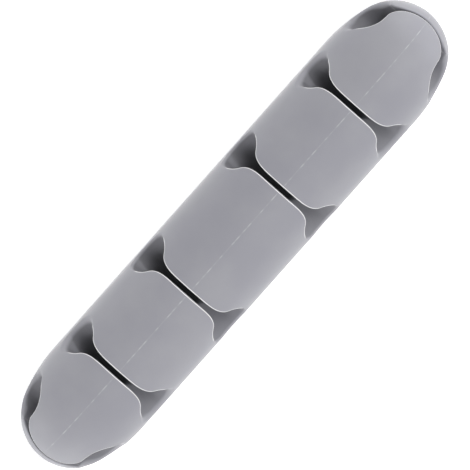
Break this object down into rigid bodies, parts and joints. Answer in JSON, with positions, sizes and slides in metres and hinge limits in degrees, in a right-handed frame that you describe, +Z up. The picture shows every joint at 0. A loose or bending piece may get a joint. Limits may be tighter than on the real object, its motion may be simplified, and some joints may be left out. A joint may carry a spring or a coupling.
{
  "type": "adhesive cable clip",
  "caption": "Long low moulded bar with a half-round top, slit channels across it that hold desk cables, and a foam tape pad underneath.",
  "frame": {"origin": "under the middle of the tape pad, on the surface that the clip is stuck to", "axes": "+X along the bar, +Y across it along the cable channels, +Z up, away from the surface"},
  "size_m": [0.0994, 0.02, 0.013],
  "materials": {
    "silicone": "matte grey moulded silicone rubber with a fine parting line",
    "foam_tape": "pale closed-cell foam tape with a tacky adhesive face"
  },
  "bodies": {
    "root": {"body": "silicone", "adhesive_pad": "foam_tape"}
  },
  "joints": []
}
